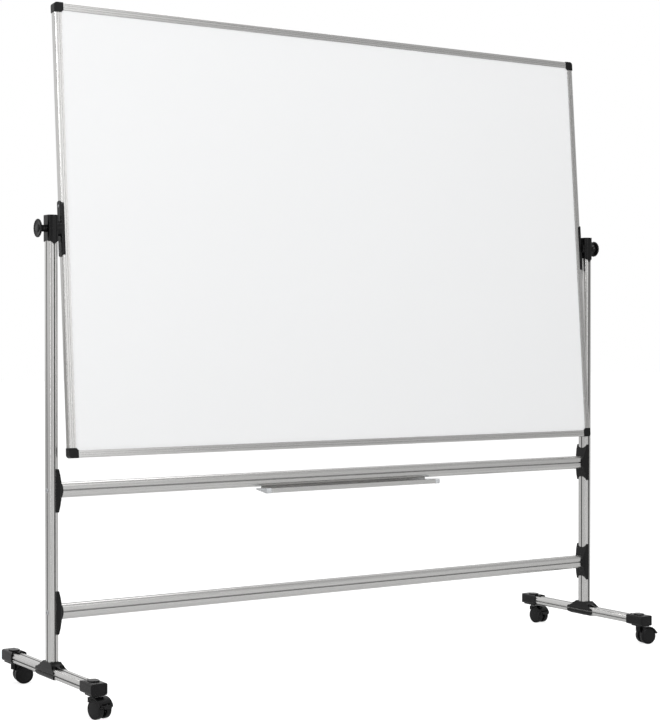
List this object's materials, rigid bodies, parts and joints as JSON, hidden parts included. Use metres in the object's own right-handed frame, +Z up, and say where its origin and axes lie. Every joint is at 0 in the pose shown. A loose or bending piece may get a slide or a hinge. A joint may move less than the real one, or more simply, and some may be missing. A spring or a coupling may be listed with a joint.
{
  "type": "rolling whiteboard",
  "caption": "Revolving double-sided whiteboard held between two posts of a wheeled aluminium stand, with a pen tray and braked twin-wheel casters.",
  "frame": {"origin": "on the floor, midway between the posts and between the front and back casters' stems", "axes": "+X along the board to the viewer's right, +Y from front to back, +Z up"},
  "size_m": [1.9549, 0.5999, 1.8319],
  "materials": {
    "panel_core": "matt paper honeycomb and fibreboard",
    "white_enamel": "gloss white enamel on steel sheet",
    "anodised_aluminium": "satin anodised, drawn lengthwise",
    "black_plastic": "fine-textured black moulding",
    "zinc_steel": "bright zinc-plated steel",
    "chromed_steel": "polished",
    "translucent_plastic": "light grey, slightly translucent",
    "caster_plastic": "satin black nylon",
    "wheel_plastic": "satin black nylon"
  },
  "bodies": {
    "stand": {"post_left": "anodised_aluminium", "post_right": "anodised_aluminium", "pivot_housing_left": "black_plastic", "pivot_housing_right": "black_plastic", "crossbar_upper": "anodised_aluminium", "crossbar_lower": "anodised_aluminium", "crossbar_bolts": "zinc_steel", "bracket_upper_left": "black_plastic", "bracket_upper_right": "black_plastic", "bracket_lower_left": "black_plastic", "bracket_lower_right": "black_plastic", "foot_bar_left": "anodised_aluminium", "foot_bar_right": "anodised_aluminium", "base_joint_left": "black_plastic", "base_joint_right": "black_plastic", "base_clamp_left": "black_plastic", "base_clamp_right": "black_plastic", "base_bolts": "zinc_steel", "foot_cap_front_left": "black_plastic", "foot_cap_front_right": "black_plastic", "foot_cap_back_left": "black_plastic", "foot_cap_back_right": "black_plastic", "pen_tray": "anodised_aluminium", "tray_end_left": "translucent_plastic", "tray_end_right": "translucent_plastic", "caster_stems": "chromed_steel"},
    "board": {"board_core": "panel_core", "front_sheet": "white_enamel", "back_sheet": "white_enamel", "frame_top": "anodised_aluminium", "frame_bottom": "anodised_aluminium", "frame_left": "anodised_aluminium", "frame_right": "anodised_aluminium", "frame_corners": "black_plastic", "pivot_clip_left": "black_plastic", "pivot_clip_right": "black_plastic", "clip_screws": "zinc_steel", "pivot_studs": "zinc_steel"},
    "knob_left": {"knob_left": "black_plastic"},
    "knob_right": {"knob_right": "black_plastic"},
    "caster_front_left": {"caster_hood_front_left": "caster_plastic", "caster_axle_front_left": "zinc_steel"},
    "wheel_outer_front_left": {"wheel_outer_front_left": "wheel_plastic"},
    "wheel_inner_front_left": {"wheel_inner_front_left": "wheel_plastic"},
    "brake_front_left": {"brake_lever_front_left": "caster_plastic"},
    "caster_front_right": {"caster_hood_front_right": "caster_plastic", "caster_axle_front_right": "zinc_steel"},
    "wheel_outer_front_right": {"wheel_outer_front_right": "wheel_plastic"},
    "wheel_inner_front_right": {"wheel_inner_front_right": "wheel_plastic"},
    "brake_front_right": {"brake_lever_front_right": "caster_plastic"},
    "caster_back_left": {"caster_hood_back_left": "caster_plastic", "caster_axle_back_left": "zinc_steel"},
    "wheel_outer_back_left": {"wheel_outer_back_left": "wheel_plastic"},
    "wheel_inner_back_left": {"wheel_inner_back_left": "wheel_plastic"},
    "brake_back_left": {"brake_lever_back_left": "caster_plastic"},
    "caster_back_right": {"caster_hood_back_right": "caster_plastic", "caster_axle_back_right": "zinc_steel"},
    "wheel_outer_back_right": {"wheel_outer_back_right": "wheel_plastic"},
    "wheel_inner_back_right": {"wheel_inner_back_right": "wheel_plastic"},
    "brake_back_right": {"brake_lever_back_right": "caster_plastic"}
  },
  "joints": [
    {"name": "board_tilt", "type": "hinge", "parent": "stand", "child": "board", "pos_m": [0, 0, 1.232], "axis": [1, 0, 0], "continuous": true},
    {"name": "knob_left_turn", "type": "hinge", "parent": "board", "child": "knob_left", "pos_m": [-0.96, 0, 1.232], "axis": [-1, 0, 0], "range_deg": [0, 540]},
    {"name": "knob_right_turn", "type": "hinge", "parent": "board", "child": "knob_right", "pos_m": [0.96, 0, 1.232], "axis": [1, 0, 0], "range_deg": [0, 540]},
    {"name": "swivel_front_left", "type": "hinge", "parent": "stand", "child": "caster_front_left", "pos_m": [-0.926, -0.25, 0.05], "axis": [0, 0, 1], "continuous": true},
    {"name": "roll_outer_front_left", "type": "hinge", "parent": "caster_front_left", "child": "wheel_outer_front_left", "pos_m": [-0.9206, -0.27338, 0.025], "axis": [0.9744, 0.225, 0], "continuous": true},
    {"name": "roll_inner_front_left", "type": "hinge", "parent": "caster_front_left", "child": "wheel_inner_front_left", "pos_m": [-0.9206, -0.27338, 0.025], "axis": [0.9744, 0.225, 0], "continuous": true},
    {"name": "brake_front_left", "type": "hinge", "parent": "caster_front_left", "child": "brake_front_left", "pos_m": [-0.91441, -0.30018, 0.0345], "axis": [-0.9744, -0.225, 0], "range_deg": [0, 18]},
    {"name": "swivel_front_right", "type": "hinge", "parent": "stand", "child": "caster_front_right", "pos_m": [0.926, -0.25, 0.05], "axis": [0, 0, 1], "continuous": true},
    {"name": "roll_outer_front_right", "type": "hinge", "parent": "caster_front_right", "child": "wheel_outer_front_right", "pos_m": [0.94939, -0.2554, 0.025], "axis": [0.225, 0.9744, 0], "continuous": true},
    {"name": "roll_inner_front_right", "type": "hinge", "parent": "caster_front_right", "child": "wheel_inner_front_right", "pos_m": [0.94939, -0.2554, 0.025], "axis": [0.225, 0.9744, 0], "continuous": true},
    {"name": "brake_front_right", "type": "hinge", "parent": "caster_front_right", "child": "brake_front_right", "pos_m": [0.97618, -0.26159, 0.0345], "axis": [-0.225, -0.9744, 0], "range_deg": [0, 18]},
    {"name": "swivel_back_left", "type": "hinge", "parent": "stand", "child": "caster_back_left", "pos_m": [-0.926, 0.25, 0.05], "axis": [0, 0, 1], "continuous": true},
    {"name": "roll_outer_back_left", "type": "hinge", "parent": "caster_back_left", "child": "wheel_outer_back_left", "pos_m": [-0.90244, 0.24542, 0.025], "axis": [0.1908, 0.9816, 0], "continuous": true},
    {"name": "roll_inner_back_left", "type": "hinge", "parent": "caster_back_left", "child": "wheel_inner_back_left", "pos_m": [-0.90244, 0.24542, 0.025], "axis": [0.1908, 0.9816, 0], "continuous": true},
    {"name": "brake_back_left", "type": "hinge", "parent": "caster_back_left", "child": "brake_back_left", "pos_m": [-0.87545, 0.24017, 0.0345], "axis": [-0.1908, -0.9816, 0], "range_deg": [0, 18]},
    {"name": "swivel_back_right", "type": "hinge", "parent": "stand", "child": "caster_back_right", "pos_m": [0.926, 0.25, 0.05], "axis": [0, 0, 1], "continuous": true},
    {"name": "roll_outer_back_right", "type": "hinge", "parent": "caster_back_right", "child": "wheel_outer_back_right", "pos_m": [0.92767, 0.22606, 0.025], "axis": [0.9976, 0.0698, 0], "continuous": true},
    {"name": "roll_inner_back_right", "type": "hinge", "parent": "caster_back_right", "child": "wheel_inner_back_right", "pos_m": [0.92767, 0.22606, 0.025], "axis": [0.9976, 0.0698, 0], "continuous": true},
    {"name": "brake_back_right", "type": "hinge", "parent": "caster_back_right", "child": "brake_back_right", "pos_m": [0.92959, 0.19862, 0.0345], "axis": [-0.9976, -0.0698, 0], "range_deg": [0, 18]}
  ]
}
